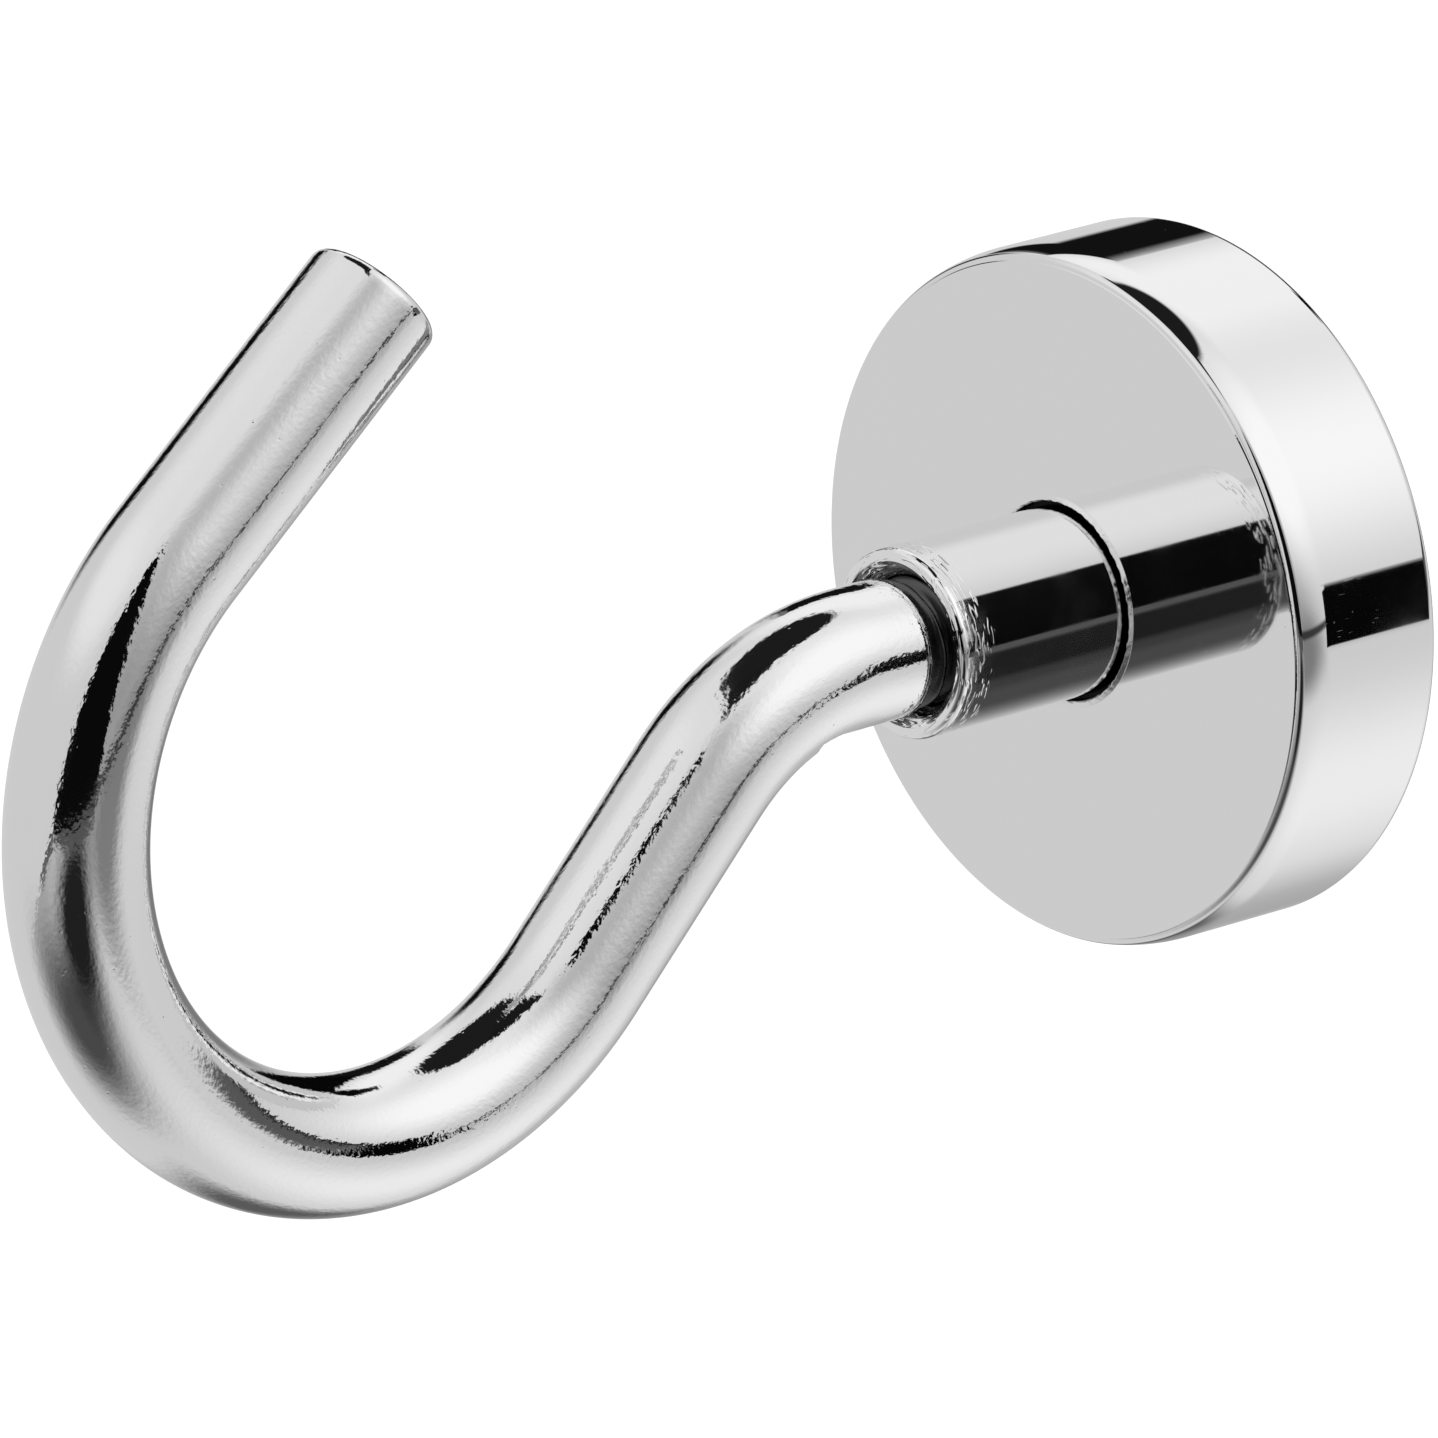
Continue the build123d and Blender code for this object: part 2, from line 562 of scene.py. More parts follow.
@dataclass(frozen=True)
class CupPlate(Finish):
    """Bright plate on the turned cup: a mirror with handling marks and a ragged face edge.

    The plate is dented on the raised collar round the foot of the boss. The gap inside the collar
    is painted near black: painted shade in the gap, over the unplated metal that the plate doesn't
    reach.
    """

    roughness: float = 0.02
    smudges: Mottle = Mottle(5 * MM, 3.0, cut=(0.45, 0.75))
    smudge_roughness: float = 0.03
    edge_radius: float = 15.50 * MM
    edge_out: float = 8.04 * MM
    edge_blur: float = 0.06 * MM
    edge_wear: float = 0.12
    collar_radius: float = 4.90 * MM
    collar_blur: float = 0.02 * MM
    collar_wear: float = 0.8
    collar_roughness: float = 0.12
    dents: Mottle = Mottle(0.32 * MM, 3.0, 0.6)
    dent_depth: float = 26 * MICRON
    scratch_depth: float = 0.12 * MICRON
    scratch_roughness: float = 0.12
    scratch_squeeze: float = 0.05
    scratches: Sequence[tuple[float, Mottle]] = (
        (0.5, Mottle(0.05 * MM, 0.0, cut=(0.80, 0.84))),
        (1.9, Mottle(0.06 * MM, 0.0, cut=(0.80, 0.84))),
        (2.7, Mottle(0.04 * MM, 0.0, cut=(0.80, 0.84))),
    )
    scratched: Mottle = Mottle(2.5 * MM, 1.0, cut=(0.56, 0.62))
    specks: Spots = Spots(1.3 * MM, (0.02, 0.05))
    speck_height: float = 1.2 * MICRON
    # Painted shade: inside this radius the gap is tinted near black, over its unplated metal.
    bare_shade_radius: float = 4.61 * MM
    bare_shade_fray: float = 0.08 * MM
    bare_shade_shares: tuple[float, float] = (0.25, 0.75)
    bare_roughness: float = 0.4

    def shade(self, bench: NodeBench) -> bpy.types.Node:
        """Builds the cup's shader.

        Args:
            bench: The material's bench.

        Returns:
            The shader node.
        """
        place = self.place(bench)
        x, y, z = bench.split(place)
        radius = bench.length(x, z)
        out = bench.math("MULTIPLY", y, -1.0)
        blur = self.edge_blur
        near_rim = bench.remap(radius, self.edge_radius - blur / 2, self.edge_radius + blur)
        near_face = bench.remap(out, self.edge_out - blur, self.edge_out + blur)
        edge = bench.math("MULTIPLY", near_rim, near_face)
        low, high = self.collar_radius - self.collar_blur, self.collar_radius + self.collar_blur
        collar = bench.remap(radius, low, high, 1.0, 0.0)
        dents = self.dents.height(bench, place)
        worn_edge = bench.math("MULTIPLY", edge, self.edge_wear)
        worn = bench.math("MAXIMUM", worn_edge, bench.math("MULTIPLY", collar, self.collar_wear))
        ragged = bench.bump(bench.math("MULTIPLY", dents, worn), self.dent_depth)
        scratches = self._scratches(bench, place)
        scored_normal = bench.bump(scratches, self.scratch_depth, ragged)
        normal = bench.bump(self.specks.lay(bench, place, 1.0, 0.0), self.speck_height, scored_normal)
        smudges = self.smudges.patches(bench, place, 0.0, self.smudge_roughness)
        scored = bench.math("MULTIPLY_ADD", scratches, self.scratch_roughness, self.roughness)
        # Painted shade: the gap inside the collar is tinted near black over its unplated metal, its edge
        # frayed by the dents.
        frayed = bench.math("MULTIPLY_ADD", dents, self.bare_shade_fray, radius)
        low, high = (self.bare_shade_radius + self.bare_shade_fray * share for share in self.bare_shade_shares)
        bare = bench.remap(frayed, low, high, 1.0, 0.0)
        dull_collar = bench.math("MULTIPLY", collar, self.collar_roughness)
        dull = bench.math("MAXIMUM", dull_collar, bench.math("MULTIPLY", bare, self.bare_roughness))
        roughness = bench.math("ADD", bench.math("ADD", smudges, scored), dull)
        return self.metal(bench, bench.tint(bare, self.colour, BARE_METAL_AND_SHADE), roughness, normal)

    def _scratches(self, bench: NodeBench, place: Socket) -> Socket:
        """Sparse hairline scratches at three angles.

        Args:
            bench: The material's bench.
            place: Place on the piece.

        Returns:
            One in a scratch, nought elsewhere.
        """
        total: Term = 0.0
        squeeze = self.scratch_squeeze
        scratched = self.scratched.patches(bench, place)
        for turn, hairs in self.scratches:
            along, across = math.cos(turn), math.sin(turn)
            run = bench.dot(place, (along * squeeze, 0, across * squeeze))
            cut = bench.dot(place, (-across, 0, along))
            lines = hairs.patches(bench, bench.join(run, cut, bench.dot(place, (0, squeeze, 0))))
            total = bench.math("MAXIMUM", total, bench.math("MULTIPLY", lines, scratched))
        return total


@dataclass(frozen=True)
class BossPlate(Finish):
    """Bright plate over turning marks, which are coarsest beside the mouth.

    Inside the bore the colour is darkened as painted shade, over the scanty plate there. The foot in
    the cup's recess is painted near black as painted shade over its unplated metal, and a painted
    shade fades out above it. A stretch is the length round the boss that a pattern takes for one
    radian.
    """

    roughness: float = 0.04
    clouds: Mottle = Mottle(2 * MM, 3.0, cut=(0.4, 0.7))
    cloud_roughness: float = 0.05
    marks: Mottle = Mottle(0.15 * MM, 0.0, cut=(0.56, 0.74))
    mark_stretch: float = 0.9 * MM
    mark_depth: float = 22 * MICRON
    marks_out: tuple[float, float] = (16.6 * MM, 17.5 * MM)
    marks_fray: Mottle = Mottle(1.2 * MM)
    arcs: Mottle = Mottle(0.11 * MM, 1.0)
    arc_stretch: float = 0.15 * MM
    arc_depth: float = 14 * MICRON
    arcs_end: tuple[float, float] = (3.56 * MM, 3.66 * MM)
    fine: Mottle = Mottle(0.05 * MM, rough=0.7)
    fine_stretch: float = 0.35 * MM
    fine_depth: float = 0.6 * MICRON
    # Painted shade: below this distance out the foot is tinted near black over its unplated metal, and a
    # painted shade fades out above it.
    foot: float = 8.27 * MM
    foot_blur: float = 0.03 * MM
    foot_fade: float = 0.38 * MM
    foot_shade: float = 0.8
    # Painted shade: inside this radius the bore is darkened, over the scanty plate there.
    bore_shade_radius: float = 3.46 * MM
    bore_fray: float = 0.06 * MM
    bore_frayed: Mottle = Mottle(0.4 * MM)
    bare_roughness: float = 0.1
    # Darker colour inside the hole: painted shade, over the scanty plate there.
    thin_plate_and_shade: tuple[float, float, float] = (0.28, 0.28, 0.28)

    def shade(self, bench: NodeBench) -> bpy.types.Node:
        """Builds the boss's shader.

        Args:
            bench: The material's bench.

        Returns:
            The shader node.
        """
        place = self.place(bench)
        x, y, z = bench.split(place)
        angle = bench.math("ARCTAN2", x, z)
        radius = bench.length(x, z)
        out = bench.math("MULTIPLY", y, -1.0)
        round_fine, round_marks, round_arcs = (
            bench.join(bench.math("MULTIPLY", angle, stretch), y, radius)
            for stretch in (self.fine_stretch, self.mark_stretch, self.arc_stretch)
        )
        edge = bench.math("MULTIPLY_ADD", self.marks_fray.height(bench, place), self.marks_fray.size, out)
        by_mouth = bench.remap(edge, *self.marks_out)
        marks = bench.math("MULTIPLY", self.marks.patches(bench, round_marks), by_mouth)
        inner = bench.remap(radius, *self.arcs_end, 1.0, 0.0)
        arcs = bench.math("MULTIPLY", self.arcs.height(bench, round_arcs), inner)
        cut = bench.bump(arcs, self.arc_depth, bench.bump(marks, self.mark_depth))
        normal = bench.bump(self.fine.height(bench, round_fine), self.fine_depth, cut)
        cloud = self.clouds.patches(bench, place, 0.0, self.cloud_roughness)
        # Painted shade in the bore: darkened inside a frayed radius, over its scanty plate.
        uneven = self.bore_frayed.height(bench, place)
        frayed = bench.math("MULTIPLY_ADD", uneven, self.bore_fray, radius)
        bore = bench.remap(frayed, self.bore_shade_radius, self.bore_shade_radius + self.bore_fray, 1.0, 0.0)
        # Painted shade at the foot: near black in the recess, fading out above it.
        foot = bench.remap(out, self.foot, self.foot + self.foot_blur, 1.0, 0.0)
        shaded = bench.remap(out, self.foot, self.foot + self.foot_fade, self.foot_shade, 0.0)
        foot = bench.math("MAXIMUM", foot, shaded)
        colour = bench.tint(foot, bench.tint(bore, self.colour, self.thin_plate_and_shade), BARE_METAL_AND_SHADE)
        dull = bench.math("MULTIPLY", bench.math("MAXIMUM", bore, foot), self.bare_roughness)
        roughness = bench.math("ADD", dull, bench.math("ADD", cloud, self.roughness))
        return self.metal(bench, colour, roughness, normal)


@dataclass(frozen=True)
class RodPlate(Finish):
    """Bright plate on drawn rod: fine grain, lengthwise drawing lines and pits.

    The pattern reads the attribute that holds each point's place on the rod before it was bent.
    """

    attribute: str = "place_before_bending"
    roughness: float = 0.02
    satin: Mottle = Mottle(4 * MM, 3.0, cut=(0.40, 0.65))
    satin_roughness: float = 0.045
    lines: Mottle = Mottle(0.13 * MM, 2.0, 0.6, (0.35, 0.75))
    line_squeeze: float = 0.04
    line_depth: float = 1.4 * MICRON
    line_roughness: float = 0.02
    grain: Mottle = Mottle(0.21 * MM, 1.6)
    grain_squeeze: float = 0.7
    grain_depth: float = 11 * MICRON
    coarse_grain: Mottle = Mottle(6 * MM, cut=(0.35, 0.65))
    fine_grain_share: float = 0.5
    pits: Spots = Spots(0.9 * MM, (0.03, 0.09))
    pit_depth: float = 4 * MICRON
    neck_start: float = -0.22 * MM
    neck_end: float = -0.16 * MM
    neck_roughness: float = 0.25
    # Painted shade on the neck inside the bore: darker colour over the scanty plate of its thread.
    thin_plate_and_shade: tuple[float, float, float] = (0.12, 0.12, 0.12)

    def shade(self, bench: NodeBench) -> bpy.types.Node:
        """Builds the rod's shader.

        Args:
            bench: The material's bench.

        Returns:
            The shader node.
        """
        place = bench.add("Attribute", attribute_name=self.attribute).outputs["Vector"]
        lines = self.lines.height(bench, bench.stretch(place, (self.line_squeeze, 1, 1)))
        drawn = bench.bump(lines, self.line_depth)
        grain = self.grain.height(bench, bench.stretch(place, (self.grain_squeeze, 1, 1)))
        patchy = self.coarse_grain.patches(bench, place, self.fine_grain_share)
        grained = bench.bump(bench.math("MULTIPLY", grain, patchy), self.grain_depth, drawn)
        normal = bench.bump(self.pits.lay(bench, place, 0.0, 1.0), self.pit_depth, grained)
        patches = self.satin.patches(bench, place, 0.0, self.satin_roughness)
        streaks = bench.remap(lines, *self.lines.cut, 0.0, self.line_roughness)
        # Painted shade: the neck's thread inside the bore is darkened over its scanty plate, and made duller.
        neck = bench.remap(bench.split(place)[0], self.neck_start, self.neck_end, 1.0, 0.0)
        dull = bench.math("MULTIPLY_ADD", neck, self.neck_roughness, self.roughness)
        roughness = bench.math("ADD", bench.math("ADD", patches, streaks), dull)
        return self.metal(bench, bench.tint(neck, self.colour, self.thin_plate_and_shade), roughness, normal)


@dataclass(frozen=True)
class GroundNickel(Finish):
    """Satin nickel on the magnet's ground faces."""

    roughness: float = 0.28
    lines: Mottle = Mottle(0.06 * MM, 3.0, 0.65)
    line_squeeze: float = 0.02
    line_depth: float = 3 * MICRON
    line_roughness: float = 0.12
    grain: Mottle = Mottle(0.3 * MM)
    grain_depth: float = 1.5 * MICRON
    clouds: Mottle = Mottle(6 * MM, 4.0, 0.6, (0.35, 0.7))
    cloud_roughness: float = 0.14

    def shade(self, bench: NodeBench) -> bpy.types.Node:
        """Builds the magnet's shader.

        Args:
            bench: The material's bench.

        Returns:
            The shader node.
        """
        place = self.place(bench)
        lines = self.lines.height(bench, bench.stretch(place, (1, 1, self.line_squeeze)))
        ground = bench.bump(lines, self.line_depth)
        normal = bench.bump(self.grain.height(bench, place), self.grain_depth, ground)
        clouds = self.clouds.patches(bench, place, 0.0, self.cloud_roughness)
        scored = bench.math("MULTIPLY_ADD", lines, self.line_roughness, self.roughness)
        return self.metal(bench, (*self.colour, 1), bench.math("ADD", clouds, scored), normal)


@dataclass(frozen=True)
class CastFill(Finish):
    """Cast resin or adhesive, with a slow swell, small bubbles and dust."""

    roughness: float = 0.32
    swell: Mottle = Mottle(2.2 * MM)
    swell_depth: float = 30 * MICRON
    bubbles: Spots = Spots(1.1 * MM, (0.05, 0.16))
    bubble_depth: float = 20 * MICRON
    tones: Mottle = Mottle(1.6 * MM, 4.0, cut=(0.3, 0.7))
    tone_share: float = 0.25
    tone_lift: float = 0.004
    dust: Mottle = Mottle(0.4 * MM, 3.0, cut=(0.45, 0.7))
    dust_roughness: float = 0.25

    def shade(self, bench: NodeBench) -> bpy.types.Node:
        """Builds the filler's shader.

        Args:
            bench: The material's bench.

        Returns:
            The shader node.
        """
        place = self.place(bench)
        waves = bench.bump(self.swell.height(bench, place), self.swell_depth)
        normal = bench.bump(self.bubbles.lay(bench, place, 0.0, 1.0), self.bubble_depth, waves)
        light = tuple(min(part * (1 + self.tone_share) + self.tone_lift, 1) for part in self.colour)
        mixed = bench.tint(self.tones.patches(bench, place), self.colour, light)
        dust = self.dust.patches(bench, place, self.roughness, self.roughness + self.dust_roughness)
        return bench.add("BsdfPrincipled", {"Base Color": mixed, "Roughness": dust, "Normal": normal})


@dataclass(frozen=True)
class SectionPoint:
    """One corner of a turned piece's half section.

    Attributes:
        out: Distance out from the wall.
        radius: Distance from the boss's axis.
        rounding: Radius of the corner's rounding, or zero for a sharp corner.
        divisions: Number of equal steps from this corner to the next.
    """

    out: float
    radius: float
    rounding: float = 0.0
    divisions: int = 1

    def as_vector(self) -> Vector:
        """The corner as a vector of its distance out and its radius."""
        return Vector((self.out, self.radius))


@dataclass(frozen=True)
class HalfSection:
    """Half section of a turned piece.

    Attributes:
        corners: Its corners in order. The last joins the first where the section is closed, and
            otherwise the section starts and ends in a flat disc across the axis.
        closed: Whether the last corner joins the first.
        round_steps: Facets in each rounded corner.
        hold: Width of the narrow band beside each corner that keeps the faces' shading flat.
    """

    corners: Sequence[SectionPoint]
    closed: bool = True
    round_steps: int = 10
    hold: float = 0.03 * MM

    def rings(self) -> list[Vector]:
        """Rings of the turned piece in order.

        Returns:
            Each ring's distance out and radius, as a vector.
        """
        rings: list[Vector] = []
        count = len(self.corners)
        for index, corner in enumerate(self.corners):
            here = corner.as_vector()
            if not self.closed and index in (0, count - 1):
                rings.append(here)
                continue
            before = (self.corners[index - 1].as_vector() - here).normalized()
            following = self.corners[(index + 1) % count].as_vector()
            after = (following - here).normalized()
            rings += self._corner_rings(here, before, after, corner.rounding)
            start = rings[-1]
            for step in range(1, corner.divisions):
                rings.append(start.lerp(following, step / corner.divisions))
        return rings

    def _corner_rings(self, here: Vector, before: Vector, after: Vector, rounding: float) -> list[Vector]:
        """Rings of one corner.

        Args:
            here: The sharp corner.
            before: Unit direction towards the corner before it.
            after: Unit direction towards the corner after it.
            rounding: Radius of the rounding.

        Returns:
            A holding ring, the arc or the sharp corner, and a second holding ring.
        """
        if rounding <= 0:
            return [here + before * self.hold, here, here + after * self.hold]
        half = before.angle(after) / 2
        reach = rounding / math.tan(half)
        centre = here + (before + after).normalized() * (rounding / math.sin(half))
        start = here + before * reach - centre
        end = here + after * reach - centre
        sweep = start.angle_signed(end)
        arc = []
        for step in range(self.round_steps + 1):
            turn = Matrix.Rotation(-sweep * step / self.round_steps, 2)
            arc.append(centre + turn @ start)
        return [arc[0] + before * self.hold, *arc, arc[-1] + after * self.hold]


def start_ring(name: str, radius: float, out: float, segments: int) -> bpy.types.Object:
    """Adds a ring of vertices about the boss's axis and opens it in edit mode.

    Args:
        name: Name of the new piece.
        radius: Radius of the ring.
        out: Its distance out from the wall.
        segments: Number of its vertices.

    Returns:
        The new object, in edit mode with the ring selected.
    """
    bpy.ops.object.select_all(action="DESELECT")
    bpy.ops.mesh.primitive_circle_add(
        vertices=segments, radius=radius, location=Axis.OUT.value * out, rotation=(math.pi / 2, 0, 0)
    )
    piece = bpy.context.object
    piece.name = name
    piece.data.name = name
    bpy.ops.object.transform_apply(location=True, rotation=True, scale=True)
    bpy.ops.object.mode_set(mode="EDIT")
    bpy.ops.mesh.select_all(action="SELECT")
    return piece


def extrude(step: Vector) -> None:
    """Extrudes what is selected by a step."""
    bpy.ops.mesh.extrude_region_move(TRANSFORM_OT_translate={"value": step})


def extrude_ring(step_out: float, growth: float, out: float) -> None:
    """Extrudes the selected ring along the boss's axis and scales the new one about it.

    Args:
        step_out: Distance out from the old ring to the new one.
        growth: Radius of the new ring over that of the old one.
        out: Distance out of the new ring from the wall.
    """
    extrude(Axis.OUT.value * step_out)
    bpy.ops.transform.resize(value=(growth, 1, growth), center_override=Axis.OUT.value * out)


def turn_section(name: str, section: HalfSection, segments: int) -> bpy.types.Object:
    """Turns a half section about the boss's axis, ring by ring.

    Args:
        name: Name of the new piece.
        section: Its half section.
        segments: Facets round the axis.

    Returns:
        The closed, smooth piece in object mode.
    """
    rings = section.rings()
    piece = start_ring(name, rings[0].y, rings[0].x, segments)
    if not section.closed:
        bpy.ops.mesh.edge_face_add()
    last = rings[0]
    for ring in rings[1:]:
        extrude_ring(ring.x - last.x, ring.y / last.y, ring.x)
        last = ring
    if section.closed:
        extrude_ring(rings[0].x - last.x, rings[0].y / last.y, rings[0].x)
    else:
        bpy.ops.mesh.edge_face_add()
    close_piece()
    return piece


def close_piece() -> None:
    """Merges what coincides, turns the faces outwards and shades the open piece smooth."""
    bpy.ops.mesh.select_all(action="SELECT")
    bpy.ops.mesh.remove_doubles(threshold=MERGE_REACH)
    bpy.ops.mesh.normals_make_consistent(inside=False)
    bpy.ops.mesh.select_all(action="DESELECT")
    bpy.ops.object.mode_set(mode="OBJECT")
    bpy.ops.object.shade_smooth_by_angle(angle=SHARPEST_SMOOTH)


def swell_about_axis(spot: Vector, factor: float) -> None:
    """Moves a point out from the boss's axis, or in towards it, by a factor."""
    spot.x, spot.z = spot.x * factor, spot.z * factor


@dataclass(frozen=True)
class Thread:
    """A right-hand V thread about the boss's axis.

    Attributes:
        crest: Radius at its crests.
        root: Radius at its roots.
        pitch: Distance from crest to crest.
        crest_share: Share of the pitch that is flat crest.
        root_share: Share of the pitch that is flat root.
    """

    crest: float
    root: float
    pitch: float = 1.0 * MM
    crest_share: float = 0.125
    root_share: float = 0.2

    def radius_at(self, point: Vector) -> float:
        """Radius of the thread at a point's angle and distance along the axis.

        Args:
            point: A point of the piece that is threaded.

        Returns:
            The radius.
        """
        angle = math.atan2(point.x, point.z)
        turns = (point.y / self.pitch - angle / FULL_TURN) % 1.0
        from_crest = min(turns, 1.0 - turns)
        flat = self.crest_share / 2
        slope = 0.5 - self.root_share / 2 - flat
        fall = min(max((from_crest - flat) / slope, 0.0), 1.0)
        return self.crest + (self.root - self.crest) * fall


@dataclass(frozen=True)
class Stretch:
    """One stretch of the rod's centreline, straight or bent, in the plane X = 0.

    Attributes:
        start: Where it starts.
        along: Unit direction of the rod there.
        length: Its length.
        bend: Radius of the bend, positive where it turns up, or zero where it is straight.
        before: Length of the rod before it.
    """

    start: Vector
    along: Vector
    length: float
    bend: float = 0.0
    before: float = 0.0

    @property
    def side(self) -> Vector:
        """Unit direction across the rod in its plane, on the upper side of the shank."""
        return Vector((0, self.along.z, -self.along.y))

    @property
    def centre(self) -> Vector:
        """Centre of the bend."""
        return self.start + self.side * self.bend

    @property
    def angle(self) -> float:
        """Angle of the bend, positive where it turns up."""
        return self.length / self.bend if self.bend else 0.0

    def at(self, length: float) -> tuple[Vector, Vector]:
        """Point and direction of the centreline at a length from the start.

        Args:
            length: Distance along the stretch.

        Returns:
            The point and the unit direction there.
        """
        if not self.bend:
            return self.start + self.along * length, self.along
        turn = Matrix.Rotation(-length / self.bend, 3, "X")
        return self.centre + turn @ (self.start - self.centre), turn @ self.along

    def follow(self, length: float, bend: float = 0.0) -> Stretch:
        """The stretch that goes on from the end of this one."""
        end, along = self.at(self.length)
        return Stretch(end, along, length, bend, self.before + self.length)

    def unbend(self, point: Vector) -> tuple[float, Vector]:
        """Place of a point before the rod was bent.

        Args:
            point: A point of the bent rod.

        Returns:
            Its distance from this stretch of centreline, and its place as the length along the
            whole rod, the distance across it and the height over it.
        """
        if self.bend:
            ray = point - self.centre
            first = self.start - self.centre
            turned = math.atan2(first.cross(ray).x, first.dot(Vector((0, ray.y, ray.z))))
            length = -turned * self.bend
            lift = self.bend - math.copysign(math.hypot(ray.y, ray.z), self.bend)
        else:
            length = (point - self.start).dot(self.along)
            lift = (point - self.start).dot(self.side)
        nearest = self.at(min(max(length, 0.0), self.length))[0]
        return (point - nearest).length, Vector((self.before + length, point.x, lift))


@dataclass(frozen=True)
class MagnetBase:
    """The base that clings to the wall: cup, boss, magnet, resin and glue.

    Attributes:
        cup_outside: Radius of the cup.
        cup_height: Height of the cup, from its rim to its face.
        boss_outside: Radius of the boss.
        boss_mouth: Distance out of the boss's mouth.
        magnet_outside: Radius of the magnet.
        magnet_front: Thickness of the magnet.

    A depth is measured back from the cup's face and a drop in from its outside.
    """

    cup_outside: float
    cup_height: float
    boss_outside: float
    boss_mouth: float
    magnet_outside: float
    magnet_front: float
    cup_wall: float = 2.0 * MM
    cup_floor: float = 3.0 * MM
    crown_depth: float = 1.04 * MM
    crown_rounding: float = 5.0 * MM
    shoulder_depth: float = 0.30 * MM
    shoulder_drop: float = 0.20 * MM
    shoulder_rounding: float = 0.35 * MM
    edge_depth: float = 0.11 * MM
    edge_drop: float = 0.30 * MM
    edge_rounding: float = 0.38 * MM
    land_depth: float = 0.055 * MM
    land_drop: float = 0.50 * MM
    face_drop: float = 0.54 * MM
    fine_hold: float = 0.008 * MM
    rim_rounding: float = 0.5 * MM
    collar_radius: float = 4.88 * MM
    collar_crest: float = 4.70 * MM
    collar_height: float = 0.12 * MM
    collar_inner_height: float = 0.04 * MM
    collar_rounding: float = 0.04 * MM
    collar_wear: float = 0.05 * MM
    collar_wear_size: float = 0.28 * MM
    recess_depth: float = 0.35 * MM
    gap: float = 0.21 * MM
    spigot: float = 3.45 * MM
    rivet_radius: float = 4.15 * MM
    rivet_depth: float = 0.7 * MM
    mouth_rounding: float = 0.32 * MM
    lip_rounding: float = 0.05 * MM
    countersink: float = 3.825 * MM
    bore: float = 3.05 * MM
    thread_depth: float = 0.28 * MM
    thread_seen: float = 3.0 * MM
    thread_margin: float = 0.1 * MM
    thread_rings: int = 42
    countersink_rings: int = 12
    magnet_rounding: float = 0.4 * MM
    resin_recess: float = 0.5 * MM
    resin_dip: float = 0.2 * MM
    resin_rounding: float = 0.6 * MM
    resin_creep: float = 0.04 * MM
    resin_creep_size: float = 2.5 * MM
    cup_segments: int = 360
    boss_segments: int = 240
    body: str = "magnet_base"
    cup_plate: CupPlate = CupPlate("bright_cup_plate", (0.90, 0.90, 0.905))
    boss_plate: BossPlate = BossPlate("bright_boss_plate", (0.96, 0.96, 0.965))
    nickel: GroundNickel = GroundNickel("ground_nickel", (0.72, 0.71, 0.68))
    resin: CastFill = CastFill("cast_resin", (0.05, 0.05, 0.055))
    glue: CastFill = CastFill(
        "cured_adhesive", (0.62, 0.58, 0.46), roughness=0.45, swell_depth=15 * MICRON, tone_share=0.12
    )

    @classmethod
    def from_frame(cls) -> MagnetBase:
        """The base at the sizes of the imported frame.

        Returns:
            The base.
        """
        cup_low, cup_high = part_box("pot_cup")
        boss_low, boss_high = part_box("threaded_boss")
        magnet_low, magnet_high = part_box("magnet_disc")
        return cls(cup_high.z, -cup_low.y, boss_high.z, -boss_low.y, magnet_high.z, -magnet_low.y)

    @property
    def floor_out(self) -> float:
        """Distance out of the inner side of the cup's floor."""
        return self.cup_height - self.cup_floor

    @property
    def seat_out(self) -> float:
        """Distance out of the boss's seat in the recess."""
        return self.cup_height - self.recess_depth

    def turn_cup(self) -> bpy.types.Object:
        """Turns the cup, from its open rim over the wall and the face to its floor.

        Returns:
            The cup.
        """
        outside, height = self.cup_outside, self.cup_height
        inside = outside - self.cup_wall
        gap_wall = self.boss_outside + self.gap
        crown = (
            (self.crown_depth, 0.0, self.crown_rounding),
            (self.shoulder_depth, self.shoulder_drop, self.shoulder_rounding),
            (self.edge_depth, self.edge_drop, self.edge_rounding),
            (self.land_depth, self.land_drop, 0.0),
            (0.0, self.face_drop, 0.0),
        )
        section = HalfSection(
            (
                SectionPoint(0, inside),
                SectionPoint(0, outside, self.rim_rounding),
                *(SectionPoint(height - depth, outside - drop, rounding) for depth, drop, rounding in crown),
                SectionPoint(height, self.collar_radius),
                SectionPoint(height + self.collar_height, self.collar_crest, self.collar_rounding),
                SectionPoint(height + self.collar_inner_height, gap_wall),
                SectionPoint(self.seat_out, gap_wall),
                SectionPoint(self.seat_out, self.spigot),
                SectionPoint(self.floor_out + self.rivet_depth, self.spigot),
                SectionPoint(self.floor_out, self.rivet_radius),
                SectionPoint(self.floor_out, inside),
            ),
            hold=self.fine_hold,
        )
        piece = turn_section("cup_shell", section, self.cup_segments)
        self._wear_collar(piece)
        return piece

    def _wear_collar(self, piece: bpy.types.Object) -> None:
        """Wears the collar round the boss's foot uneven.

        Args:
            piece: The turned cup.
        """
        for vertex in piece.data.vertices:
            spot = vertex.co
            radius = math.hypot(spot.x, spot.z)
            raised = -spot.y - self.cup_height
            if radius > self.collar_radius or raised < MERGE_REACH:
                continue
            swell = noise.noise(Vector((spot.x, 0, spot.z)) / self.collar_wear_size)
            wear = swell * self.collar_wear * min(raised / self.collar_height, 1.0)
            swell_about_axis(spot, 1 + wear / radius)
            spot.y += wear

